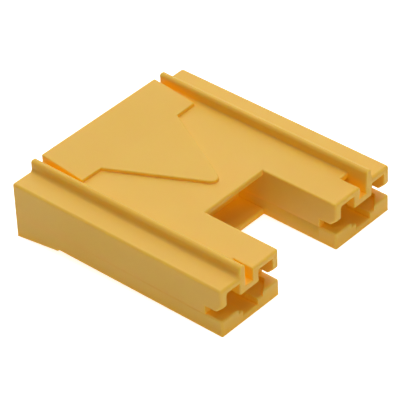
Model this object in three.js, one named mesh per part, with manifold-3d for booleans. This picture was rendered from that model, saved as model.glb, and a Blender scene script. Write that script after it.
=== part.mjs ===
// Two-prong link plug: a flat two-shell plastic housing with a U-shaped notch, open keyed mouths
// at both prong tips, an arrow-shaped thumb plate between two rails, and a copper link bar inside
// that joins a sprung pair of contact leaves in each prong.
// Millimetres. Each piece is drawn with X from the rear face to the prong tips, Y across and Z up
// from the underside; the assembly is then centred, and stands on its foot at Z 0.

import * as THREE from 'three';
import { mergeVertices } from 'three/addons/utils/BufferGeometryUtils.js';
import Module from 'manifold-3d';

const wasm = await Module();
wasm.setup();

// ---------- driving dimensions ----------
const LENGTH = 38.6;              // rear face to the prong tips
const HALF_WIDTH = 18;
const DECK = 7.8;                 // top face of the deck and of the outer shelves
const DECK_THICK = 0.85;
const FLOOR = 1.0;                // thickness of the lower shell's floor
const WALL = 1.2;
const SEAM = 2.6;                 // top of the lower shell's walls
const SEAM_GAP = 0.06;
const REST_GAP = 0.02;            // between pieces that rest on each other
const CORNER_RADIUS = 0.45;       // upright corners
const OVERCUT = 1;                // how far a cutter passes the face it opens

const NOTCH_REAR = 25.5;
const NOTCH_HALF = 6.1;
const POCKET_REAR = 20.9;         // hollow between the two plates behind the notch
const POCKET_WALL = 1.3;
const PRONG_MID = (HALF_WIDTH + NOTCH_HALF) / 2;

const RAIL_IN = 12.95;
const RAIL_OUT = 14.1;
const RAIL_TOP = 9.5;

const FOOT_LENGTH = 8.2;          // wedge under the rear
const FOOT_REAR_DROP = 1.5;
const FOOT_FRONT_DROP = 0.3;
const FOOT_SLOPE = (FOOT_REAR_DROP - FOOT_FRONT_DROP) / FOOT_LENGTH;

const SLOT_REAR = 35.6;           // side slots at the prong tips
const LIP_BOTTOM = 3.8;
const LIP_CHAMFER = 1.1;

const HANGER_REAR = 35.2;         // U-shaped channel that hangs below each rail's end
const HANGER_BOTTOM = 4.8;
const HANGER_FLOOR = 5.7;
const HANGER_SLOT_IN = 11.4;
const HANGER_IN = 10.25;

const PAD_LENGTH = 1.7;           // wedges that narrow the mouth between the lower walls
const PAD_IN = 9.6;
const PAD_OUT = 14.5;
const LEDGE_IN = 10.6;            // low ledges beside the mouth's central channel
const LEDGE_OUT = 13.7;
const LEDGE_TOP = 1.95;
const LEDGE_REAR = 34.4;

const ARROW_REAR = 0.15;          // thumb plate
const ARROW_HALF = 11.9;
const ARROW_NECK_HALF = 8.1;
const ARROW_SHOULDER = 7.8;
const ARROW_APEX = 23.6;
const ARROW_TIP_RADIUS = 1.2;
const ARROW_REAR_TOP = 9.3;
const ARROW_SHOULDER_TOP = 8.35;
const ARROW_TIP_TOP = 8.3;

const JAW = 3.4;                  // mid-height of the contact jaws and of the link bar
const BAR_THICK = 0.8;
const BAR_HALF_WIDTH = 2.4;       // of each leg
const BAR_REAR = 7;
const BAR_CROSS_FRONT = 11.6;
const BAR_FRONT = 23;
const LEAF_THICK = 0.4;
const LEAF_HALF_WIDTH = 2.3;
const LEAF_GAP = 0.15;            // play that lets a leaf rock on its rivet
const LEAF_REAR = 18.6;
const LEAF_BEND = 23;
const LEAF_NOSE = 31.4;
const LEAF_END = 33.4;
const NOSE_GAP = 0.12;            // half the gap between two leaves at the nose
const MOUTH_GAP = 0.85;           // half the gap between two leaves at their flared ends
const RIVET_X = 20.8;
const RIVET_RADIUS = 0.8;
const RIVET_HOLE = 0.9;
const RIVET_HEAD = 1.35;
const RIVET_HEAD_TALL = 0.6;

const CLIP_REAR = 26;             // steel back-up spring round each pair of leaves
const CLIP_FRONT = 30;
const CLIP_THICK = 0.4;
const CLIP_HALF_TALL = 1.75;
const CLIP_IN = PRONG_MID - 2.2;
const CLIP_OUT = 15.5;

const PEG_RADIUS = 0.9;           // pegs on the upper shell and their sockets below
const SOCKET_BORE = 1.0;
const SOCKET_RADIUS = 1.9;
const SOCKET_TOP = 5.0;
const PEG_END = 2.0;
const POST_RADIUS = 2.0;          // posts that carry and locate the link bar
const POST_PIN_RADIUS = 0.8;
const POST_PIN_TOP = 4.2;
const PEG_PLACES = [[4.5, 9], [4.5, -9], [16.4, 4], [16.4, -4]];
const POST_PLACES = [[9.3, 5], [9.3, -5]];
const SIDES = [['left', 1], ['right', -1]];
const ROUND_STEPS = 20;
const ARC_STEPS = 5;

// ---------- finishes ----------
const finish = (color, roughness, metalness) => () =>
  new THREE.MeshStandardMaterial({ color, roughness, metalness });
const YELLOW_PLASTIC = finish(0xe2b560, 0.45, 0);
const COPPER = finish(0xb87349, 0.35, 1);
const BRONZE = finish(0xb89a5e, 0.35, 1);
const STEEL = finish(0xb4b7ba, 0.3, 1);

// ---------- solids ----------
function solid(geometry) {
  const bare = geometry.clone();
  bare.deleteAttribute('normal');
  bare.deleteAttribute('uv');
  const merged = mergeVertices(bare, 1e-5);
  return new wasm.Manifold(new wasm.Mesh({
    numProp: 3,
    vertProperties: new Float32Array(merged.attributes.position.array),
    triVerts: new Uint32Array(merged.index.array),
  }));
}

const join = (pieces) => pieces.reduce((whole, piece) => whole.add(piece));
const cut = (body, tools) => tools.reduce((rest, tool) => rest.subtract(tool), body);

function mesh(name, shape, material) {
  const { vertProperties, triVerts } = shape.getMesh();
  const geometry = new THREE.BufferGeometry();
  geometry.setAttribute('position', new THREE.BufferAttribute(vertProperties, 3));
  geometry.setIndex(new THREE.BufferAttribute(triVerts, 1));
  geometry.computeVertexNormals();
  const result = new THREE.Mesh(geometry, material());
  result.name = name;
  return result;
}

function box([x0, x1], [y0, y1], [z0, z1]) {
  const geometry = new THREE.BoxGeometry(x1 - x0, y1 - y0, z1 - z0);
  geometry.translate((x0 + x1) / 2, (y0 + y1) / 2, (z0 + z1) / 2);
  return solid(geometry);
}

// A box given by its distance from the centre line, on the chosen side.
function sideBox(side, xs, [near, far], zs) {
  return box(xs, side > 0 ? [near, far] : [-far, -near], zs);
}

function cylinder(x, y, radius, [z0, z1]) {
  const geometry = new THREE.CylinderGeometry(radius, radius, z1 - z0, ROUND_STEPS);
  geometry.rotateX(Math.PI / 2);
  geometry.translate(x, y, (z0 + z1) / 2);
  return solid(geometry);
}

// Corners [x, y, radius] walked anticlockwise; a corner with a radius becomes an arc.
function outline(corners) {
  const points = [];
  corners.forEach(([x, y, radius = 0], index) => {
    const corner = new THREE.Vector2(x, y);
    if (radius === 0) {
      points.push(corner);
      return;
    }
    const [bx, by] = corners[(index + corners.length - 1) % corners.length];
    const [ax, ay] = corners[(index + 1) % corners.length];
    const back = new THREE.Vector2(bx, by).sub(corner).normalize();
    const ahead = new THREE.Vector2(ax, ay).sub(corner).normalize();
    const half = Math.acos(back.dot(ahead)) / 2;
    const centre = back.clone().add(ahead).normalize().multiplyScalar(radius / Math.sin(half)).add(corner);
    const start = back.multiplyScalar(radius / Math.tan(half)).add(corner).sub(centre);
    const end = ahead.multiplyScalar(radius / Math.tan(half)).add(corner).sub(centre);
    const sweep = Math.atan2(start.cross(end), start.dot(end));
    for (let step = 0; step <= ARC_STEPS; step++) {
      const spoke = start.clone().rotateAround(new THREE.Vector2(), sweep * step / ARC_STEPS);
      points.push(spoke.add(centre));
    }
  });
  return new THREE.Shape(points);
}

// A flat outline in X and Y, raised from z0 to z1.
function plate(corners, [z0, z1]) {
  const geometry = new THREE.ExtrudeGeometry(outline(corners), { depth: z1 - z0, bevelEnabled: false });
  geometry.translate(0, 0, z0);
  return solid(geometry);
}

// A profile in X and Z, drawn across from y0 to y1.
function profile(corners, [y0, y1]) {
  const geometry = new THREE.ExtrudeGeometry(outline(corners), { depth: y1 - y0, bevelEnabled: false });
  geometry.rotateX(Math.PI / 2);
  geometry.translate(0, y1, 0);
  return solid(geometry);
}

// ---------- housing shells ----------
const BODY_OUTLINE = [
  [0, -HALF_WIDTH, CORNER_RADIUS],
  [LENGTH, -HALF_WIDTH, CORNER_RADIUS],
  [LENGTH, -NOTCH_HALF, CORNER_RADIUS],
  [NOTCH_REAR, -NOTCH_HALF],
  [NOTCH_REAR, NOTCH_HALF],
  [LENGTH, NOTCH_HALF, CORNER_RADIUS],
  [LENGTH, HALF_WIDTH, CORNER_RADIUS],
  [0, HALF_WIDTH, CORNER_RADIUS],
];

// The hollows between floor and deck: the main chamber, the two prongs and the pocket.
function hollows(zs) {
  const inner = HALF_WIDTH - WALL;
  const prongIn = NOTCH_HALF + WALL;
  const chamberFront = POCKET_REAR - POCKET_WALL;
  return [
    box([WALL, chamberFront], [-inner, inner], zs),
    sideBox(1, [WALL, LENGTH + OVERCUT], [prongIn, inner], zs),
    sideBox(-1, [WALL, LENGTH + OVERCUT], [prongIn, inner], zs),
    box([POCKET_REAR, NOTCH_REAR + OVERCUT], [-NOTCH_HALF, NOTCH_HALF], zs),
  ];
}

function mouthPad(side, wallFace, edge) {
  const corners = [
    [LENGTH, side * wallFace],
    [LENGTH, side * edge],
    [LENGTH - PAD_LENGTH, side * wallFace],
  ];
  return plate(side * (edge - wallFace) > 0 ? corners : corners.reverse(), [FLOOR / 2, SEAM]);
}

function mouthGuides(side) {
  const inner = HALF_WIDTH - WALL;
  const prongIn = NOTCH_HALF + WALL;
  const ledgeZ = [FLOOR / 2, LEDGE_TOP];
  const ledgeX = [LEDGE_REAR, LENGTH];
  return [
    mouthPad(side, inner, PAD_OUT),
    mouthPad(side, prongIn, PAD_IN),
    sideBox(side, ledgeX, [prongIn - WALL / 2, LEDGE_IN], ledgeZ),
    sideBox(side, ledgeX, [LEDGE_OUT, inner + WALL / 2], ledgeZ),
  ];
}

function lowerShell() {
  const side = profile([
    [-OVERCUT, SEAM],
    [-OVERCUT, -FOOT_REAR_DROP - OVERCUT * FOOT_SLOPE],
    [FOOT_LENGTH, -FOOT_FRONT_DROP],
    [FOOT_LENGTH, 0],
    [LENGTH + OVERCUT, 0],
    [LENGTH + OVERCUT, SEAM],
  ], [-HALF_WIDTH - OVERCUT, HALF_WIDTH + OVERCUT]);
  const block = plate(BODY_OUTLINE, [-2 * FOOT_REAR_DROP, 2 * SEAM]).intersect(side);
  const trough = cut(block, hollows([FLOOR, SEAM + OVERCUT]));
  const barSeat = JAW - BAR_THICK / 2 - REST_GAP;
  const sockets = PEG_PLACES.map(([x, y]) =>
    cylinder(x, y, SOCKET_RADIUS, [FLOOR / 2, SOCKET_TOP])
      .subtract(cylinder(x, y, SOCKET_BORE, [FLOOR, SOCKET_TOP + OVERCUT])));
  const posts = POST_PLACES.map(([x, y]) =>
    cylinder(x, y, POST_RADIUS, [FLOOR / 2, barSeat])
      .add(cylinder(x, y, POST_PIN_RADIUS, [barSeat - 0.5, POST_PIN_TOP])));
  const sideParts = SIDES.flatMap(([, side]) => [
    ...mouthGuides(side),
    sideBox(side, [14.6, 15.8], [PRONG_MID - BAR_HALF_WIDTH, PRONG_MID + BAR_HALF_WIDTH],
      [FLOOR / 2, barSeat]),
    sideBox(side, [CLIP_REAR + 0.5, CLIP_FRONT - 0.5], [PRONG_MID - 1.6, PRONG_MID + 1.6],
      [FLOOR / 2, JAW - CLIP_HALF_TALL]),
  ]);
  return join([trough, ...sockets, ...posts, ...sideParts]);
}

function thumbPlate() {
  const ramp = profile([
    [0, DECK - 0.3],
    [ARROW_APEX, DECK - 0.3],
    [ARROW_APEX, ARROW_TIP_TOP],
    [ARROW_SHOULDER, ARROW_SHOULDER_TOP],
    [0, ARROW_REAR_TOP],
  ], [-ARROW_HALF - OVERCUT, ARROW_HALF + OVERCUT]);
  const arrow = plate([
    [ARROW_REAR, -ARROW_HALF, 0.5],
    [ARROW_SHOULDER, -ARROW_HALF, 0.25],
    [ARROW_SHOULDER, -ARROW_NECK_HALF],
    [ARROW_APEX, 0, ARROW_TIP_RADIUS],
    [ARROW_SHOULDER, ARROW_NECK_HALF],
    [ARROW_SHOULDER, ARROW_HALF, 0.25],
    [ARROW_REAR, ARROW_HALF, 0.5],
  ], [DECK - OVERCUT, RAIL_TOP + OVERCUT]);
  return ramp.intersect(arrow);
}

function upperShell() {
  const bottom = SEAM + SEAM_GAP;
  const cover = cut(plate(BODY_OUTLINE, [bottom, DECK]),
    hollows([bottom - OVERCUT, DECK - DECK_THICK]));
  const slotTool = profile([
    [SLOT_REAR, bottom - OVERCUT],
    [LENGTH + OVERCUT, bottom - OVERCUT],
    [LENGTH + OVERCUT, LIP_BOTTOM + LIP_CHAMFER + OVERCUT],
    [LENGTH - LIP_CHAMFER, LIP_BOTTOM],
    [SLOT_REAR, LIP_BOTTOM],
  ], [-HALF_WIDTH - OVERCUT, HALF_WIDTH + OVERCUT]);
  const pegs = PEG_PLACES.map(([x, y]) =>
    cylinder(x, y, SOCKET_RADIUS, [SOCKET_TOP + SEAM_GAP, DECK - DECK_THICK / 2])
      .add(cylinder(x, y, PEG_RADIUS, [PEG_END, DECK - DECK_THICK])));
  const raised = SIDES.flatMap(([, side]) => [
    sideBox(side, [0, LENGTH], [RAIL_IN, RAIL_OUT], [DECK - 0.3, RAIL_TOP]),
    sideBox(side, [HANGER_REAR, LENGTH], [HANGER_IN, RAIL_OUT], [HANGER_BOTTOM, DECK]),
  ]);
  const channels = SIDES.map(([, side]) =>
    sideBox(side, [HANGER_REAR, LENGTH + OVERCUT], [HANGER_SLOT_IN, RAIL_IN],
      [HANGER_FLOOR, RAIL_TOP + OVERCUT]));
  const whole = join([cover.subtract(slotTool), ...raised, thumbPlate(), ...pegs]);
  return cut(whole, channels);
}

// ---------- current path ----------
function linkBar() {
  const legOut = PRONG_MID + BAR_HALF_WIDTH;
  const legIn = PRONG_MID - BAR_HALF_WIDTH;
  const bar = plate([
    [BAR_REAR, -legOut, 1],
    [BAR_FRONT, -legOut, 0.4],
    [BAR_FRONT, -legIn, 0.4],
    [BAR_CROSS_FRONT, -legIn, 1],
    [BAR_CROSS_FRONT, legIn, 1],
    [BAR_FRONT, legIn, 0.4],
    [BAR_FRONT, legOut, 0.4],
    [BAR_REAR, legOut, 1],
  ], [JAW - BAR_THICK / 2, JAW + BAR_THICK / 2]);
  const through = [JAW - BAR_THICK, JAW + BAR_THICK];
  return cut(bar, [
    ...SIDES.map(([, side]) => cylinder(RIVET_X, side * PRONG_MID, RIVET_HOLE, through)),
    ...POST_PLACES.map(([x, y]) => cylinder(x, y, POST_PIN_RADIUS + 0.1, through)),
  ]);
}

// One leaf, bent from strip; way is 1 for the leaf above the jaw and -1 for the one below.
function leaf(side, way) {
  const root = BAR_THICK / 2 + LEAF_GAP;
  const inside = [
    [LEAF_REAR, root],
    [LEAF_BEND, root],
    [LEAF_NOSE, NOSE_GAP],
    [LEAF_END, MOUTH_GAP],
  ];
  const outside = inside.map(([x, z]) => [x, z + LEAF_THICK]).reverse();
  const corners = [...inside, ...outside].map(([x, z]) => [x, JAW + way * z]);
  const strip = profile(way > 0 ? corners : corners.reverse(),
    [side * PRONG_MID - LEAF_HALF_WIDTH, side * PRONG_MID + LEAF_HALF_WIDTH]);
  return strip.subtract(cylinder(RIVET_X, side * PRONG_MID, RIVET_HOLE, [JAW - 3, JAW + 3]));
}

function rivet(side) {
  const grip = BAR_THICK / 2 + 2 * LEAF_GAP + LEAF_THICK;
  const head = grip + RIVET_HEAD_TALL;
  const half = [[RIVET_HEAD * 0.7, head], [RIVET_HEAD, head - 0.25], [RIVET_HEAD, grip],
    [RIVET_RADIUS, grip]];
  const points = [[0, head], ...half, ...half.map(([r, z]) => [r, -z]).reverse(), [0, -head]];
  const spun = new THREE.LatheGeometry(
    points.reverse().map(([r, z]) => new THREE.Vector2(r, z)), ROUND_STEPS);
  spun.rotateX(Math.PI / 2);
  spun.translate(RIVET_X, side * PRONG_MID, JAW);
  return solid(spun);
}

function backupClip(side) {
  const xs = [CLIP_REAR, CLIP_FRONT];
  const zs = [JAW - CLIP_HALF_TALL + REST_GAP, JAW + CLIP_HALF_TALL];
  const inside = [zs[0] + CLIP_THICK, zs[1] - CLIP_THICK];
  return sideBox(side, xs, [CLIP_IN, CLIP_OUT], zs)
    .subtract(sideBox(side, [CLIP_REAR - 1, CLIP_FRONT + 1], [CLIP_IN - 1, CLIP_OUT - CLIP_THICK], inside));
}

// ---------- assembly ----------
const plug = new THREE.Group();
plug.name = 'two_prong_link_plug';
plug.position.set(-LENGTH / 2, 0, FOOT_REAR_DROP);
plug.add(mesh('lower_shell', lowerShell(), YELLOW_PLASTIC));
plug.add(mesh('upper_shell', upperShell(), YELLOW_PLASTIC));
plug.add(mesh('link_bar', linkBar(), COPPER));
for (const [word, side] of SIDES) {
  plug.add(mesh(`${word}_upper_leaf`, leaf(side, 1), BRONZE));
  plug.add(mesh(`${word}_lower_leaf`, leaf(side, -1), BRONZE));
  plug.add(mesh(`${word}_rivet`, rivet(side), STEEL));
  plug.add(mesh(`${word}_backup_clip`, backupClip(side), STEEL));
}

export default plug;
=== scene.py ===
"""Looks of the two-prong link plug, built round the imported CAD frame.

Each piece is modelled in millimetres in the drawing frame (X from the rear face to the prong
tips, Y across, Z up from the underside) and moved into the CAD frame, in metres, when it is done.
"""

import logging
import math
from collections.abc import Callable
from dataclasses import dataclass, field
from enum import Enum

import bmesh
import bpy
from mathutils import Matrix, Vector


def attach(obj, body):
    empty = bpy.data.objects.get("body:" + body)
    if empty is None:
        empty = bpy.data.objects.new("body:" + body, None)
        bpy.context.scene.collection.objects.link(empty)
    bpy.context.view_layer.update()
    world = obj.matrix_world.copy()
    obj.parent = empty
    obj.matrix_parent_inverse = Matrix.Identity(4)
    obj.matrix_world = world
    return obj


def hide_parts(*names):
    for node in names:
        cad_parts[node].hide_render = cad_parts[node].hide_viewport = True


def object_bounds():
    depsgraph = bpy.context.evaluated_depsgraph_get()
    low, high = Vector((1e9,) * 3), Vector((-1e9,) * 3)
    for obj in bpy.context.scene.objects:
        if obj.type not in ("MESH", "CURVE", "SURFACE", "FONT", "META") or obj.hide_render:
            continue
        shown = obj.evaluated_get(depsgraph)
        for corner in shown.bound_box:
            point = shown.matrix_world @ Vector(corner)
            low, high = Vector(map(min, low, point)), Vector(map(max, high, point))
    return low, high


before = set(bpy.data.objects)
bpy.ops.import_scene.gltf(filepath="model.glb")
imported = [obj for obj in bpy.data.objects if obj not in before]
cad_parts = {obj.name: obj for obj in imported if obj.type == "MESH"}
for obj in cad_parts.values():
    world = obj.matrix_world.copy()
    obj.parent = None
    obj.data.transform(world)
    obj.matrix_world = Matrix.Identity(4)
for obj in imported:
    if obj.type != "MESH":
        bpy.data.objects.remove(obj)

CAD_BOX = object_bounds()
LOG = logging.getLogger("link_plug")

MM = 0.001
OVERCUT = 1.0  # how far a tool passes the face that it opens
NEAR = 0.1  # how close a place counts as on a face
ALONG = 0.9  # least share of an edge's direction that counts as along an axis
TOUCHING = 0.01  # how close a height counts as the same
DRUM_SIDES = 40
ARC_STEPS = 7
ROUNDING_STEPS = 3
WIDEST_EDGE = 0.6  # the bevel's width, which an edge's weight takes a share of
MERGE_DISTANCE = 0.002
SPLIT_DISTANCE = 0.001
FLAT_TURN = math.radians(0.6)
SHARP_TURN = math.radians(24)
SMOOTH_TURN = math.radians(50)
NOISE_SPAN = (0.3, 0.7)  # where most of a noise texture's values lie

Point = tuple[float, float]
Span = tuple[float, float]
Socket = bpy.types.NodeSocket
EdgeRule = Callable[[Vector, Vector, float], float]


class Side(Enum):
    """The two prongs, seen from the rear."""

    LEFT = 1
    RIGHT = -1


class Joining(Enum):
    """What a boolean does with the second solid."""

    JOIN = "UNION"
    CUT = "DIFFERENCE"
    KEEP = "INTERSECT"


# ---------------------------------------------------------------------------- solids


def _stands_at(edge: bmesh.types.BMEdge, place: Point) -> bool:
    """Says whether an edge stands upright at a place.

    Args:
        edge: the edge.
        place: X and Y of the place.

    Returns:
        True if it does.
    """
    a, b = (v.co for v in edge.verts)
    upright = abs(a.x - b.x) + abs(a.y - b.y) < 1e-6
    return upright and abs(a.x - place[0]) + abs(a.y - place[1]) < 1e-4


class Solid:
    """A closed mesh in millimetres, worked on as a scratch object until it is finished."""

    def __init__(self, bm: bmesh.types.BMesh) -> None:
        """Takes over a bmesh and frees it.

        Args:
            bm: closed mesh in millimetres.
        """
        bmesh.ops.recalc_face_normals(bm, faces=bm.faces)
        mesh = bpy.data.meshes.new("scratch")
        bm.to_mesh(mesh)
        bm.free()
        self.thing = bpy.data.objects.new("scratch", mesh)
        bpy.context.scene.collection.objects.link(self.thing)

    @classmethod
    def block(cls, xs: Span, ys: Span, zs: Span) -> "Solid":
        """Makes a box.

        Args:
            xs: lowest and highest X.
            ys: lowest and highest Y.
            zs: lowest and highest Z.

        Returns:
            The box.
        """
        bm = bmesh.new()
        bmesh.ops.create_cube(bm, size=1)
        size = Vector((xs[1] - xs[0], ys[1] - ys[0], zs[1] - zs[0]))
        bmesh.ops.scale(bm, vec=size, verts=bm.verts)
        middle = Vector((sum(xs), sum(ys), sum(zs))) / 2
        bmesh.ops.translate(bm, vec=middle, verts=bm.verts)
        return cls(bm)

    @classmethod
    def beside(cls, side: Side, xs: Span, outs: Span, zs: Span) -> "Solid":
        """Makes a box given by its distance from the middle plane.

        Args:
            side: which half of the plug it is on.
            xs: lowest and highest X.
            outs: nearest and furthest distance from the middle plane.
            zs: lowest and highest Z.

        Returns:
            The box.
        """
        ys = outs if side is Side.LEFT else (-outs[1], -outs[0])
        return cls.block(xs, ys, zs)

    @classmethod
    def drum(cls, x: float, y: float, radius: float, zs: Span) -> "Solid":
        """Makes an upright cylinder.

        Args:
            x: X of its axis.
            y: Y of its axis.
            radius: its radius.
            zs: lowest and highest Z.

        Returns:
            The cylinder.
        """
        bm = bmesh.new()
        bmesh.ops.create_cone(
            bm,
            cap_ends=True,
            segments=DRUM_SIDES,
            radius1=radius,
            radius2=radius,
            depth=zs[1] - zs[0],
        )
        bmesh.ops.translate(bm, vec=(x, y, sum(zs) / 2), verts=bm.verts)
        return cls(bm)

    @classmethod
    def plate(
        cls, corners: list[Point], zs: Span, cut_backs: dict[int, float] | None = None
    ) -> "Solid":
        """Raises a flat outline and rounds some of its upright edges.

        Args:
            corners: the outline in X and Y.
            zs: lowest and highest Z.
            cut_backs: distance from a corner to where its rounding starts, by corner number.

        Returns:
            The plate.
        """
        bm = bmesh.new()
        verts = [bm.verts.new((x, y, zs[0])) for x, y in corners]
        face = bm.faces.new(verts)
        raised = bmesh.ops.extrude_face_region(bm, geom=[face])["geom"]
        tops = [v for v in raised if isinstance(v, bmesh.types.BMVert)]
        bmesh.ops.translate(bm, vec=(0, 0, zs[1] - zs[0]), verts=tops)
        for number, cut_back in (cut_backs or {}).items():
            bmesh.ops.bevel(
                bm,
                geom=[edge for edge in bm.edges if _stands_at(edge, corners[number])],
                offset=cut_back,
                offset_type="OFFSET",
                affect="EDGES",
                segments=ARC_STEPS,
                profile=0.5,
                material=-1,
                clamp_overlap=False,
            )
        return cls(bm)

    @classmethod
    def profile(cls, corners: list[Point], ys: Span) -> "Solid":
        """Draws a side profile across the plug.

        Args:
            corners: the profile in X and Z.
            ys: lowest and highest Y.

        Returns:
            The drawn solid.
        """
        solid = cls.plate(corners, (-ys[1], -ys[0]))
        solid.thing.data.transform(Matrix.Rotation(math.pi / 2, 4, "X"))
        return solid

    def _with(self, other: "Solid", how: Joining) -> "Solid":
        """Runs one boolean and uses the other solid up.

        Args:
            other: the second solid.
            how: what the boolean does.

        Returns:
            This solid.
        """
        boolean = self.thing.modifiers.new("boolean", "BOOLEAN")
        boolean.operation = how.value
        boolean.object = other.thing
        boolean.solver = "EXACT"
        self.apply()
        bpy.data.objects.remove(other.thing)
        return self

    def join(self, *others: "Solid") -> "Solid":
        """Adds other solids to this one."""
        for other in others:
            self._with(other, Joining.JOIN)
        return self

    def cut(self, *others: "Solid") -> "Solid":
        """Takes other solids away from this one."""
        for other in others:
            self._with(other, Joining.CUT)
        return self

    def keep(self, other: "Solid") -> "Solid":
        """Keeps only what is inside the other solid."""
        return self._with(other, Joining.KEEP)

    def apply(self) -> None:
        """Applies the modifiers to the mesh."""
        graph = bpy.context.evaluated_depsgraph_get()
        mesh = bpy.data.meshes.new_from_object(self.thing.evaluated_get(graph))
        self.thing.modifiers.clear()
        self.thing.data = mesh

    def soften(self, rule: EdgeRule, split: Vector) -> "Solid":
        """Merges flat faces, then rounds every edge by the radius that the rule gives it.

        Args:
            rule: gives a radius in millimetres from an edge's middle, direction and turn.
            split: foot of a plane where edges are split, so that their radius may change there.

        Returns:
            This solid.
        """
        mesh = self.thing.data
        bm = bmesh.new()
        bm.from_mesh(mesh)
        bmesh.ops.remove_doubles(bm, verts=bm.verts, dist=MERGE_DISTANCE)
        bmesh.ops.dissolve_limit(
            bm, angle_limit=FLAT_TURN, use_dissolve_boundaries=False, verts=bm.verts, edges=bm.edges
        )
        parts = [*bm.verts, *bm.edges, *bm.faces]
        bmesh.ops.bisect_plane(
            bm, geom=parts, plane_co=split, plane_no=split.normalized(), dist=SPLIT_DISTANCE
        )
        weights = bm.edges.layers.float.new("bevel_weight_edge")
        for edge in bm.edges:
            turn = edge.calc_face_angle_signed(0)
            if abs(turn) < SHARP_TURN:
                continue
            start, end = (v.co for v in edge.verts)
            radius = rule((start + end) / 2, (end - start).normalized(), turn)
            edge[weights] = min(1, radius / WIDEST_EDGE)
        bm.to_mesh(mesh)
        bm.free()
        bevel = self.thing.modifiers.new("bevel", "BEVEL")
        bevel.limit_method = "WEIGHT"
        bevel.width = WIDEST_EDGE
        bevel.segments = ROUNDING_STEPS
        bevel.use_clamp_overlap = False
        self.apply()
        return self

    def finish(
        self, name: str, body: str, node: str, slot: str, coat: bpy.types.Material
    ) -> bpy.types.Object:
        """Turns the scratch object into a finished piece of the plug.

        Args:
            name: the piece's name.
            body: the CAD body that it rides on.
            node: the CAD node that it stands for.
            slot: the record's material slot; not used.
            coat: its material.

        Returns:
            The finished object.
        """
        low = CAD_BOX[0]
        place = Matrix.Translation((low.x, 0, low.z + Housing.foot_drop * MM)) @ Matrix.Scale(MM, 4)
        mesh = self.thing.data
        mesh.transform(place)
        mesh.shade_smooth()
        mesh.set_sharp_from_angle(angle=SMOOTH_TURN)
        normals = self.thing.modifiers.new("normals", "WEIGHTED_NORMAL")
        normals.keep_sharp = True
        normals.weight = 100
        self.apply()
        self.thing.name = name
        self.thing.data.name = name
        self.thing.data.materials.clear()
        self.thing.data.materials.append(coat)
        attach(self.thing, body)
        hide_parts(node)
        LOG.info("%s: %d faces", name, len(self.thing.data.polygons))
        return self.thing


# ---------------------------------------------------------------------------- finishes


class NodeBench:
    """Short ways to place and join shader nodes in one tree."""

    def __init__(self, tree: bpy.types.NodeTree) -> None:
        """Takes the tree to work in."""
        self.tree = tree

    def add(self, kind: str, **settings: object) -> bpy.types.Node:
        """Adds a node and sets its properties.

        Args:
            kind: the node's type name.
            settings: values for its properties.

        Returns:
            The node.
        """
        node = self.tree.nodes.new(kind)
        for name, value in settings.items():
            setattr(node, name, value)
        return node

    def link(self, source: Socket, target: Socket) -> None:
        """Joins two sockets."""
        self.tree.links.new(source, target)

    def feed(self, node: bpy.types.Node, **inputs: object) -> bpy.types.Node:
        """Links or sets inputs by name, with underscores for spaces.

        Args:
            node: the node whose inputs are fed.
            inputs: a socket or a value for each input.

        Returns:
            The node.
        """
        for name, value in inputs.items():
            target = node.inputs[name.replace("_", " ")]
            if isinstance(value, bpy.types.NodeSocket):
                self.link(value, target)
            else:
                target.default_value = value
        return node

    def noise(self, vector: Socket, scale: Socket, detail: float, roughness: float = 0.5) -> Socket:
        """Adds a noise texture.

        Args:
            vector: the place.
            scale: the size of the pattern.
            detail: its octaves.
            roughness: how strong its finer octaves are.

        Returns:
            The noise value.
        """
        node = self.add("ShaderNodeTexNoise")
        self.feed(node, Vector=vector, Scale=scale, Detail=detail, Roughness=roughness)
        return node.outputs["Fac"]

    def spread(self, value: Socket, source: Span, target: Span) -> Socket:
        """Maps a value from one range to another.

        Args:
            value: the value.
            source: the range that it comes from.
            target: the range that it goes to.

        Returns:
            The mapped value.
        """
        node = self.add("ShaderNodeMapRange")
        self.feed(node, Value=value, From_Min=source[0], From_Max=source[1])
        self.feed(node, To_Min=target[0], To_Max=target[1])
        return node.outputs["Result"]

    def times(self, value: Socket, factor: float) -> Socket:
        """Multiplies a value by a number and returns it."""
        node = self.add("ShaderNodeMath", operation="MULTIPLY")
        self.link(value, node.inputs[0])
        node.inputs[1].default_value = factor
        return node.outputs["Value"]

    def blend(self, share: Socket, first: Socket | tuple, second: Socket | tuple) -> Socket:
        """Adds a colour mix.

        Args:
            share: how much of the second colour there is, from 0 to 1.
            first: a colour.
            second: another colour.

        Returns:
            The mixed colour.
        """
        node = self.add("ShaderNodeMix", data_type="RGBA", blend_type="MIX")
        self.link(share, node.inputs["Factor"])
        colour_a, colour_b = node.inputs[6], node.inputs[7]
        for target, value in ((colour_a, first), (colour_b, second)):
            if isinstance(value, bpy.types.NodeSocket):
                self.link(value, target)
            else:
                target.default_value = value
        return node.outputs[2]


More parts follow.
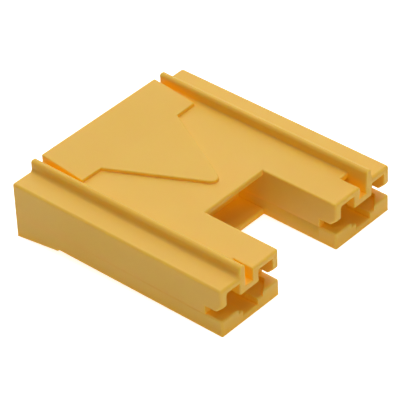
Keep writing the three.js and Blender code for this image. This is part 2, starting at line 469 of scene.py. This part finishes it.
class Effects:
    """Shader node groups that several finishes share, each built once."""

    speck_reach: Span = (0.05, 0.25)  # from a cell's middle, in cells
    stain_span: Span = (0.45, 0.7)
    line_stretch: tuple = (0.04, 1.0, 1.0)
    _made: dict[str, bpy.types.ShaderNodeTree] = {}

    @classmethod
    def _start(cls, name: str, inputs: dict[str, float], outputs: tuple[str, ...]) -> tuple:
        """Makes an empty group with float sockets.

        Args:
            name: the group's name.
            inputs: default value by input name.
            outputs: names of its outputs.

        Returns:
            The group, a bench to work on it, its input node and its output node.
        """
        group = bpy.data.node_groups.new(name, "ShaderNodeTree")
        for label, value in inputs.items():
            socket = group.interface.new_socket(
                label, in_out="INPUT", socket_type="NodeSocketFloat"
            )
            socket.default_value = value
        for label in outputs:
            group.interface.new_socket(label, in_out="OUTPUT", socket_type="NodeSocketFloat")
        bench = NodeBench(group)
        cls._made[name] = group
        return group, bench, bench.add("NodeGroupInput"), bench.add("NodeGroupOutput")

    @classmethod
    def moulded_grain(cls) -> bpy.types.ShaderNodeTree:
        """Builds a fine spark-eroded grain with a slow drift, for moulded plastic.

        Returns:
            The group.
        """
        name = "moulded grain"
        if name in cls._made:
            return cls._made[name]
        group, bench, given, out = cls._start(
            name, {"Scale": 3000.0, "Drift Scale": 90.0}, ("Height", "Drift", "Speck")
        )
        place = bench.add("ShaderNodeTexCoord").outputs["Object"]
        fine = bench.noise(place, given.outputs["Scale"], 3.0, 0.6)
        drift = bench.noise(place, given.outputs["Drift Scale"], 2.0)
        cells = bench.add("ShaderNodeTexVoronoi", feature="F1")
        bench.feed(cells, Vector=place, Scale=given.outputs["Scale"])
        speck = bench.spread(cells.outputs["Distance"], cls.speck_reach, (1.0, 0.0))
        bench.link(fine, out.inputs["Height"])
        bench.link(drift, out.inputs["Drift"])
        bench.link(speck, out.inputs["Speck"])
        return group

    @classmethod
    def rolled_strip(cls) -> bpy.types.ShaderNodeTree:
        """Builds rolling lines along X with a stain mask, for strip metal.

        Returns:
            The group.
        """
        name = "rolled strip"
        if name in cls._made:
            return cls._made[name]
        group, bench, given, out = cls._start(
            name, {"Line Scale": 900.0, "Stain Scale": 260.0}, ("Lines", "Stain")
        )
        place = bench.add("ShaderNodeTexCoord").outputs["Object"]
        stretch = bench.add("ShaderNodeMapping")
        bench.feed(stretch, Vector=place, Scale=cls.line_stretch)
        lines = bench.noise(stretch.outputs["Vector"], given.outputs["Line Scale"], 4.0, 0.7)
        stain = bench.noise(place, given.outputs["Stain Scale"], 4.0, 0.6)
        bench.link(lines, out.inputs["Lines"])
        bench.link(bench.spread(stain, cls.stain_span, (0.0, 1.0)), out.inputs["Stain"])
        return group


@dataclass(frozen=True)
class ShellPlastic:
    """Warm yellow moulded plastic that lets a little light through, with painted bounce light and a
    painted glow in its hollows.
    """

    name: str = "shell plastic"
    colour: tuple = (0.88, 0.545, 0.078, 1.0)
    shade: tuple = (0.87, 0.53, 0.066, 1.0)
    fleck: tuple = (0.89, 0.6, 0.13, 1.0)
    fleck_share: float = 0.25
    # painted bounce light: the deeper orange that sheltered hollows are tinted towards
    painted_bounce: tuple = (0.95, 0.5, 0.01, 1.0)
    # reach and span of the occlusion mask that lays on the painted bounce light and painted glow
    crevice_reach: float = 0.005
    crevice_span: Span = (0.2, 0.75)  # openness from fully sheltered to fully open
    # painted glow: orange light given off by sheltered hollows
    glow: tuple = (0.12, 0.06, 0.0, 1.0)
    depth: tuple = (0.9, 0.8, 0.25)
    depth_scale: float = 0.0008
    depth_weight: float = 1.0
    roughness: Span = (0.4, 0.52)
    grain_height: float = 0.000004
    grain_strength: float = 0.6

    def make(self) -> bpy.types.Material:
        """Builds the material.

        Returns:
            The material.
        """
        material = bpy.data.materials.new(self.name)
        material.use_nodes = True
        bench = NodeBench(material.node_tree)
        shader = material.node_tree.nodes["Principled BSDF"]
        grain = bench.add("ShaderNodeGroup", node_tree=Effects.moulded_grain())
        drift = bench.spread(grain.outputs["Drift"], NOISE_SPAN, (0.0, 1.0))
        body = bench.blend(drift, self.shade, self.colour)
        flecks = bench.times(grain.outputs["Speck"], self.fleck_share)
        open_colour = bench.blend(flecks, body, self.fleck)
        # Painted bounce light: an occlusion mask tints hollows towards a deeper orange and makes
        # them glow.
        shelter = bench.add("ShaderNodeAmbientOcclusion", samples=8)
        bench.feed(shelter, Distance=self.crevice_reach)
        depth = bench.spread(shelter.outputs["AO"], self.crevice_span, (1.0, 0.0))
        colour = bench.blend(depth, open_colour, self.painted_bounce)
        # painted glow, only where the hollows are sheltered
        glow = bench.blend(depth, (0.0, 0.0, 0.0, 1.0), self.glow)
        rough = bench.spread(grain.outputs["Height"], NOISE_SPAN, self.roughness)
        bump = bench.add("ShaderNodeBump")
        bench.feed(
            bump,
            Height=grain.outputs["Height"],
            Distance=self.grain_height,
            Strength=self.grain_strength,
        )
        bench.feed(
            shader,
            Base_Color=colour,
            Roughness=rough,
            Normal=bump.outputs["Normal"],
            Subsurface_Weight=self.depth_weight,
            Subsurface_Radius=self.depth,
            Subsurface_Scale=self.depth_scale,
            Emission_Color=glow,
            Emission_Strength=1.0,
            Specular_IOR_Level=0.4,
        )
        return material


@dataclass(frozen=True)
class StripMetal:
    """Rolled strip metal with lines along its length and a little tarnish."""

    name: str
    colour: tuple
    tarnish: tuple
    roughness: Span = (0.22, 0.42)
    tarnish_share: float = 0.5
    line_height: float = 0.00001
    line_strength: float = 0.4

    def make(self) -> bpy.types.Material:
        """Builds the material.

        Returns:
            The material.
        """
        material = bpy.data.materials.new(self.name)
        material.use_nodes = True
        bench = NodeBench(material.node_tree)
        shader = material.node_tree.nodes["Principled BSDF"]
        strip = bench.add("ShaderNodeGroup", node_tree=Effects.rolled_strip())
        share = bench.times(strip.outputs["Stain"], self.tarnish_share)
        colour = bench.blend(share, self.colour, self.tarnish)
        rough = bench.spread(strip.outputs["Lines"], NOISE_SPAN, self.roughness)
        bump = bench.add("ShaderNodeBump")
        bench.feed(
            bump,
            Height=strip.outputs["Lines"],
            Distance=self.line_height,
            Strength=self.line_strength,
        )
        bench.feed(
            shader,
            Base_Color=colour,
            Roughness=rough,
            Normal=bump.outputs["Normal"],
            Metallic=1.0,
        )
        return material


@dataclass(frozen=True)
class StudioPaper:
    """The pale paper that the plug lies on."""

    name: str = "studio paper"
    colour: tuple = (0.93, 0.93, 0.93, 1.0)
    glow: tuple = (0.12, 0.12, 0.12, 1.0)
    seen_glow: tuple = (0.8, 0.8, 0.8, 1.0)

    def make(self) -> bpy.types.Material:
        """Builds the material.

        Returns:
            The material.
        """
        material = bpy.data.materials.new(self.name)
        material.use_nodes = True
        bench = NodeBench(material.node_tree)
        shader = material.node_tree.nodes["Principled BSDF"]
        path = bench.add("ShaderNodeLightPath")
        bench.feed(
            shader,
            Base_Color=self.colour,
            Roughness=0.9,
            Specular_IOR_Level=0.1,
            Emission_Color=bench.blend(path.outputs["Is Camera Ray"], self.glow, self.seen_glow),
            Emission_Strength=1.0,
        )
        return material


# ---------------------------------------------------------------------------- housing


@dataclass
class Housing:
    """Sizes that both shells share."""

    length: float = 38.6
    half: float = 18.0
    deck: float = 7.8
    deck_thick: float = 0.85
    floor: float = 1.0
    wall: float = 1.2
    seam: float = 2.6
    corner_round: float = 0.42
    notch_rear: float = 25.5
    notch_half: float = 6.1
    pocket_rear: float = 20.9
    pocket_wall: float = 1.3
    slot_rear: float = 35.6
    foot_drop: float = 1.5
    foot_front_drop: float = 0.3
    foot_length: float = 8.2
    pegs: list = field(default_factory=lambda: [(4.5, 9), (4.5, -9), (16.4, 4), (16.4, -4)])
    socket_radius: float = 1.9
    socket_top: float = 5.0
    root: float = 0.4  # how far an added piece reaches into what carries it
    hidden_round: float = 0.06

    def block(self, zs: Span) -> Solid:
        """Makes the U-shaped block that a shell is cut from, with spare length at both ends.

        Args:
            zs: lowest and highest Z.

        Returns:
            The block.
        """
        near, far = self.notch_half, self.half
        rear, tip = -OVERCUT, self.length + OVERCUT
        corners = [
            (rear, -far), (tip, -far), (tip, -near), (self.notch_rear, -near),
            (self.notch_rear, near), (tip, near), (tip, far), (rear, far),
        ]
        return Solid.plate(corners, zs)

    def trim(self) -> Solid:
        """Makes the box that a shell is trimmed to, so that its end faces are each one plane."""
        far = self.half + OVERCUT
        return Solid.block((0, self.length), (-far, far), (-3 * self.foot_drop, 2 * self.deck))

    def hollows(self, zs: Span) -> list[Solid]:
        """Makes the tools that hollow a shell: the chamber, both prongs and the pocket.

        Args:
            zs: lowest and highest Z.

        Returns:
            The tools.
        """
        inner = self.half - self.wall
        front = self.pocket_rear - self.pocket_wall
        prong = (self.notch_half + self.wall, inner)
        reach = (front - OVERCUT, self.length + 2 * OVERCUT)
        return [
            Solid.block((self.wall, front), (-inner, inner), zs),
            Solid.beside(Side.LEFT, reach, prong, zs),
            Solid.beside(Side.RIGHT, reach, prong, zs),
            Solid.block(
                (self.pocket_rear, self.notch_rear + OVERCUT),
                (-self.notch_half, self.notch_half),
                zs,
            ),
        ]


@dataclass
class LowerShell(Housing):
    """Floor, low walls, foot, mouth pads, bar posts and peg sockets."""

    pad_length: float = 1.7
    pad_in: float = 9.6
    pad_out: float = 14.5
    ledge_in: float = 10.6
    ledge_out: float = 13.7
    ledge_top: float = 1.95
    ledge_rear: float = 34.4
    bar_seat: float = 2.98
    bar_half: float = 2.4
    rib: Span = (14.6, 15.8)
    clip_seat: float = 1.65
    clip_half: float = 1.6
    clip_rest: Span = (26.5, 29.5)
    posts: list = field(default_factory=lambda: [(9.3, 5), (9.3, -5)])
    post_radius: float = 2.0
    stud_radius: float = 0.8
    stud_top: float = 4.2
    bore_radius: float = 1.0
    rim_round: float = 0.3
    hollow_round: float = 0.1
    guide_round: float = 0.12
    tip_round: float = 0.08

    def _pad(self, side: Side, wall_face: float, edge: float) -> Solid:
        """Makes one of the wedges that narrow a mouth at its tip.

        Args:
            side: which prong it is in.
            wall_face: distance of the wall's inner face from the middle plane.
            edge: distance of the wedge's far edge from the middle plane.

        Returns:
            The pad.
        """
        way = side.value
        rooted = wall_face - math.copysign(self.wall / 3, edge - wall_face)
        rear = self.length - self.pad_length
        corners = [
            (self.length + OVERCUT, way * rooted), (self.length + OVERCUT, way * edge),
            (self.length, way * edge), (rear, way * wall_face), (rear, way * rooted),
        ]
        return Solid.plate(corners, (self.floor / 2, self.seam))

    def _guides(self, side: Side) -> list[Solid]:
        """Makes the pads and ledges of one mouth.

        Args:
            side: which prong they are in.

        Returns:
            The pieces to join to the shell.
        """
        inner = self.half - self.wall
        prong_in = self.notch_half + self.wall
        ledge_xs = (self.ledge_rear, self.length + OVERCUT)
        ledge_zs = (self.floor / 2, self.ledge_top)
        return [
            self._pad(side, inner, self.pad_out),
            self._pad(side, prong_in, self.pad_in),
            Solid.beside(side, ledge_xs, (prong_in - self.root, self.ledge_in), ledge_zs),
            Solid.beside(side, ledge_xs, (self.ledge_out, inner + self.root), ledge_zs),
        ]

    def _seats(self, side: Side) -> list[Solid]:
        """Makes the rib under one leg of the bar and the seat of one back-up clip.

        Args:
            side: which prong they are in.

        Returns:
            The pieces to join to the shell.
        """
        middle = (self.half + self.notch_half) / 2
        return [
            Solid.beside(side, xs, (middle - half, middle + half), (self.floor / 2, top))
            for xs, half, top in (
                (self.rib, self.bar_half, self.bar_seat),
                (self.clip_rest, self.clip_half, self.clip_seat),
            )
        ]

    def _edge(self, middle: Vector, way: Vector, turn: float) -> float:
        """Gives the radius of one edge.

        Args:
            middle: the edge's middle.
            way: its direction.
            turn: the angle between its faces, below 0 in an inner corner.

        Returns:
            The radius in millimetres.
        """
        out = abs(middle.y)
        upright = abs(way.z) > ALONG
        in_mouth = self.notch_half + NEAR < out < self.half - NEAR
        if middle.x < self.slot_rear and middle.z > self.floor - NEAR:
            on_rim = middle.x > self.notch_rear - NEAR and out < self.notch_half
            if on_rim and middle.z < self.floor + NEAR:
                return self.rim_round
            return 0.0 if abs(middle.z - self.seam) < TOUCHING else self.hidden_round
        if turn < 0 or middle.z < TOUCHING and not upright:
            return self.hollow_round
        if in_mouth and middle.x < self.length - NEAR:
            return self.guide_round
        if in_mouth and upright:
            return self.tip_round
        return self.corner_round if upright else self.rim_round

    def build(self, coat: bpy.types.Material) -> bpy.types.Object:
        """Models and dresses the shell.

        Args:
            coat: its material.

        Returns:
            The finished piece.
        """
        slope = (self.foot_drop - self.foot_front_drop) / self.foot_length
        under = [
            (-2 * OVERCUT, -4 * self.foot_drop),
            (self.length + 2 * OVERCUT, -4 * self.foot_drop),
            (self.length + 2 * OVERCUT, 0),
            (self.foot_length, 0),
            (self.foot_length, -self.foot_front_drop),
            (-2 * OVERCUT, -self.foot_drop - 2 * OVERCUT * slope),
        ]
        shell = self.block((-2 * self.foot_drop, self.seam))
        shell.cut(Solid.profile(under, (-self.half - OVERCUT, self.half + OVERCUT)))
        shell.cut(*self.hollows((self.floor, self.seam + OVERCUT)))
        for side in Side:
            shell.join(*self._guides(side), *self._seats(side))
        for x, y in self.pegs:
            shell.join(Solid.drum(x, y, self.socket_radius, (self.floor / 2, self.socket_top)))
            shell.cut(Solid.drum(x, y, self.bore_radius, (self.floor, self.socket_top + OVERCUT)))
        for x, y in self.posts:
            stud = (self.bar_seat - self.root, self.stud_top)
            shell.join(Solid.drum(x, y, self.post_radius, (self.floor / 2, self.bar_seat)))
            shell.join(Solid.drum(x, y, self.stud_radius, stud))
        shell.keep(self.trim())
        shell.soften(self._edge, split=Vector((self.slot_rear, 0, 0)))
        return shell.finish("lower_shell_moulding", "housing", "lower_shell", "shell_plastic", coat)


@dataclass
class UpperShell(Housing):
    """Deck, shelves, walls, rails, thumb plate, lips, hanging channels and pegs."""

    rail_in: float = 12.95
    rail_out: float = 14.1
    rail_top: float = 9.5
    lip_bottom: float = 3.8
    lip_chamfer: float = 1.1
    hanger_rear: float = 35.2
    hanger_bottom: float = 4.8
    hanger_floor: float = 5.7
    hanger_slot_in: float = 11.4
    hanger_in: float = 10.25
    hanger_split: float = 6.55
    arrow_half: float = 11.9
    neck_half: float = 8.1
    shoulder: float = 7.8
    apex: float = 23.6
    arrow_round: float = 1.2
    arrow_rear_top: float = 9.3
    shoulder_top: float = 8.35
    tip_top: float = 8.3
    deck_root: float = 0.3
    hanger_root: float = 0.2
    peg_radius: float = 0.9
    peg_bottom: float = 2.0
    peg_root: float = 0.5
    boss_gap: float = 0.06
    arrow_edge: float = 0.2
    arrow_foot: float = 0.1
    rail_foot_out: float = 0.6
    rail_foot_in: float = 0.3
    rail_edge: float = 0.55
    rail_end: float = 0.25
    rim_edge: float = 0.25
    shelf_rim: float = 3.0  # how far inside a rail the deck's front edge keeps the finer radius
    flank_hollow: float = 0.12
    hanger_edge: float = 0.2
    arrow_margin: float = 0.02

    def _arrow_top(self, x: float) -> float:
        """Gives the thumb plate's height.

        Args:
            x: distance from the rear face.

        Returns:
            Z of its top.
        """
        if x < self.shoulder:
            share = x / self.shoulder
            return self.arrow_rear_top + share * (self.shoulder_top - self.arrow_rear_top)
        share = min(1, (x - self.shoulder) / (self.apex - self.shoulder))
        return self.shoulder_top + share * (self.tip_top - self.shoulder_top)

    def _thumb_plate(self) -> Solid:
        """Makes the arrow-shaped ramp that the thumb pushes.

        Returns:
            The ramp.
        """
        low = self.deck - self.deck_root
        outline = [
            (-OVERCUT, -self.arrow_half), (self.shoulder, -self.arrow_half),
            (self.shoulder, -self.neck_half), (self.apex, 0), (self.shoulder, self.neck_half),
            (self.shoulder, self.arrow_half), (-OVERCUT, self.arrow_half),
        ]
        ramp = [
            (-2 * OVERCUT, low - OVERCUT), (self.apex, low - OVERCUT), (self.apex, self.tip_top),
            (self.shoulder, self.shoulder_top),
            (-2 * OVERCUT, self._arrow_top(-2 * OVERCUT)),
        ]
        cut_back = self.arrow_round * (self.apex - self.shoulder) / self.neck_half
        arrow = Solid.plate(outline, (low, self.rail_top + OVERCUT), {3: cut_back})
        return arrow.keep(Solid.profile(ramp, (-self.half, self.half)))

    def _edge(self, middle: Vector, way: Vector, turn: float) -> float:
        """Gives the radius of one edge.

        Args:
            middle: the edge's middle.
            way: its direction.
            turn: the angle between its faces, below 0 in an inner corner.

        Returns:
            The radius in millimetres.
        """
        if middle.z < self.seam + NEAR:
            return 0.0
        out = abs(middle.y)
        if middle.z < self.deck - NEAR:
            return self._low_edge(middle, way, turn)
        if out < self.arrow_half + self.arrow_margin and NEAR < middle.x < self.apex:
            return self.arrow_edge if turn > 0 else self.arrow_foot
        if turn < 0:
            return self.rail_foot_out if out > self.rail_out - NEAR else self.rail_foot_in
        if middle.z > self.deck + NEAR and out > self.rail_in - NEAR:
            return self.rail_edge if abs(way.x) > ALONG else self.rail_end
        at_notch = abs(middle.x - self.notch_rear) < NEAR or out < self.notch_half + NEAR
        by_rail = self.rail_in - self.shelf_rim < out < self.rail_out + NEAR
        return self.rim_edge if at_notch or by_rail else self.corner_round

    def _low_edge(self, middle: Vector, way: Vector, turn: float) -> float:
        """Gives the radius of one edge below the deck's top face.

        Args:
            middle: the edge's middle.
            way: its direction.
            turn: the angle between its faces, below 0 in an inner corner.

        Returns:
            The radius in millimetres.
        """
        out = abs(middle.y)
        if middle.x < NEAR and abs(way.z) > ALONG:
            return self.corner_round
        if middle.x < self.slot_rear + NEAR:
            return self.hidden_round
        if out > self.half - NEAR or out < self.notch_half + NEAR:
            return self.corner_round if turn > 0 else self.flank_hollow
        return self.hanger_edge if turn > 0 and middle.z < self.hanger_split else 0.0

    def build(self, coat: bpy.types.Material) -> bpy.types.Object:
        """Models and dresses the shell.

        Args:
            coat: its material.

        Returns:
            The finished piece.
        """
        bottom = self.seam
        front = self.length + 2 * OVERCUT
        slot = [
            (self.slot_rear, bottom - OVERCUT), (front, bottom - OVERCUT),
            (front, self.lip_bottom + self.lip_chamfer + 2 * OVERCUT),
            (self.length - self.lip_chamfer, self.lip_bottom),
            (self.slot_rear, self.lip_bottom),
        ]
        shell = self.block((bottom, self.deck))
        shell.cut(*self.hollows((bottom - OVERCUT, self.deck - self.deck_thick)))
        shell.cut(Solid.profile(slot, (-self.half - OVERCUT, self.half + OVERCUT)))
        for side in Side:
            shell.join(
                Solid.beside(
                    side, (-OVERCUT, self.length + OVERCUT), (self.rail_in, self.rail_out),
                    (self.deck - self.deck_root, self.rail_top),
                ),
                Solid.beside(
                    side, (self.hanger_rear, self.length + OVERCUT),
                    (self.hanger_in, self.rail_out),
                    (self.hanger_bottom, self.deck - self.hanger_root),
                ),
            )
            shell.cut(
                Solid.beside(
                    side, (self.hanger_rear, front), (self.hanger_slot_in, self.rail_in),
                    (self.hanger_floor, self.rail_top + OVERCUT),
                )
            )
        shell.join(self._thumb_plate())
        for x, y in self.pegs:
            boss = (self.socket_top + self.boss_gap, self.deck - self.root)
            peg = (self.peg_bottom, self.socket_top + self.peg_root)
            shell.join(Solid.drum(x, y, self.socket_radius, boss))
            shell.join(Solid.drum(x, y, self.peg_radius, peg))
        shell.keep(self.trim())
        shell.soften(self._edge, split=Vector((0, 0, self.hanger_split)))
        return shell.finish("upper_shell_moulding", "cover", "upper_shell", "shell_plastic", coat)


# ---------------------------------------------------------------------------- contacts


@dataclass
class Contacts:
    """Link bar, leaves, rivets and back-up clips, which keep the meshes of the CAD."""

    link: StripMetal = StripMetal("link copper", (0.72, 0.34, 0.19, 1), (0.35, 0.16, 0.1, 1))
    jaw: StripMetal = StripMetal("contact bronze", (0.74, 0.53, 0.28, 1), (0.45, 0.28, 0.14, 1))
    clip: StripMetal = StripMetal("clip steel", (0.5, 0.51, 0.53, 1), (0.28, 0.3, 0.34, 1))

    def build(self) -> None:
        """Dresses the nodes, one metal after another."""
        prongs = [side.name.lower() for side in Side]
        for metal, nodes in (
            (self.link, ["link_bar"]),
            (self.jaw, [f"{prong}_{leaf}_leaf" for prong in prongs for leaf in ("upper", "lower")]),
            (self.clip, [f"{prong}_{fix}" for prong in prongs for fix in ("rivet", "backup_clip")]),
        ):
            coat = metal.make()
            for node in nodes:
                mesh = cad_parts[node].data
                mesh.materials.clear()
                mesh.materials.append(coat)
                LOG.info("%s: %s", node, metal.name)


# ---------------------------------------------------------------------------- studio


@dataclass(frozen=True)
class Lamp:
    """A square soft lamp that faces the plug, in metres and watts."""

    name: str
    place: tuple
    size: float
    power: float

    def hang(self) -> None:
        """Puts the lamp in the scene."""
        data = bpy.data.lights.new(self.name, "AREA")
        data.energy = self.power
        data.size = self.size
        thing = bpy.data.objects.new(self.name, data)
        thing.location = self.place
        thing.rotation_mode = "QUATERNION"
        thing.rotation_quaternion = (-Vector(self.place)).to_track_quat("-Z", "Y")
        bpy.context.scene.collection.objects.link(thing)


@dataclass
class Studio:
    """Paper floor, soft lights and the camera, set round the plug."""

    azimuth: float = 42.80
    elevation: float = 37.33
    roll: float = -2.64
    distance: float = 0.3826
    lens: float = 245.4
    aim: tuple = (0.00012, -0.00048, 0.0051)
    floor_size: float = 6.0
    lamps: tuple = (
        Lamp("overhead", (-0.05, 0.03, 0.8), 0.7, 3.3),
        Lamp("back", (-0.5, 0.53, 0.6), 1.0, 4.0),
        Lamp("front", (0.75, -0.15, 0.35), 0.5, 0.85),
    )
    room_light: float = 0.17

    def _back(self) -> Vector:
        """Gives the direction from the aim to the camera."""
        a, e = math.radians(self.azimuth), math.radians(self.elevation)
        return Vector((math.sin(a) * math.cos(e), -math.cos(a) * math.cos(e), math.sin(e)))

    def camera(self) -> None:
        """Makes the camera and puts it in the scene."""
        data = bpy.data.cameras.new("camera")
        data.lens = self.lens
        data.sensor_width = 36
        data.clip_start = 0.01
        data.clip_end = 20
        thing = bpy.data.objects.new("camera", data)
        bpy.context.scene.collection.objects.link(thing)
        back = self._back()
        turn = (-back).to_track_quat("-Z", "Y").to_matrix().to_4x4()
        roll = Matrix.Rotation(math.radians(self.roll), 4, "Z")
        place = Matrix.Translation(Vector(self.aim) + back * self.distance)
        thing.matrix_world = place @ turn @ roll
        bpy.context.scene.camera = thing

    def floor(self) -> None:
        """Lays the paper so that it meets the foot's rear edge and the prong tips."""
        low, high = CAD_BOX
        lean = math.atan2(Housing.foot_drop * MM, high.x - low.x)
        bm = bmesh.new()
        bmesh.ops.create_grid(bm, x_segments=1, y_segments=1, size=self.floor_size / 2)
        mesh = bpy.data.meshes.new("floor")
        bm.to_mesh(mesh)
        bm.free()
        pivot = Matrix.Translation((low.x, 0, low.z))
        mesh.transform(pivot @ Matrix.Rotation(-lean, 4, "Y") @ pivot.inverted())
        mesh.materials.append(StudioPaper().make())
        thing = bpy.data.objects.new("floor", mesh)
        bpy.context.scene.collection.objects.link(thing)

    def lights(self) -> None:
        """Hangs soft lamps overhead, behind and in front, in a dim white room."""
        for lamp in self.lamps:
            lamp.hang()
        world = bpy.data.worlds.new("room")
        world.use_nodes = True
        room = world.node_tree.nodes["Background"]
        room.inputs["Color"].default_value = (1, 1, 1, 1)
        room.inputs["Strength"].default_value = self.room_light
        bpy.context.scene.world = world
        bpy.context.scene.view_settings.view_transform = "Standard"

    def build(self) -> None:
        """Sets the whole studio up."""
        self.camera()
        self.floor()
        self.lights()


def main() -> None:
    """Builds the plug and its studio."""
    logging.basicConfig(level=logging.INFO, format="%(message)s")
    Studio().build()
    plastic = ShellPlastic().make()
    LowerShell().build(plastic)
    UpperShell().build(plastic)
    Contacts().build()


if __name__ == "__main__":
    main()
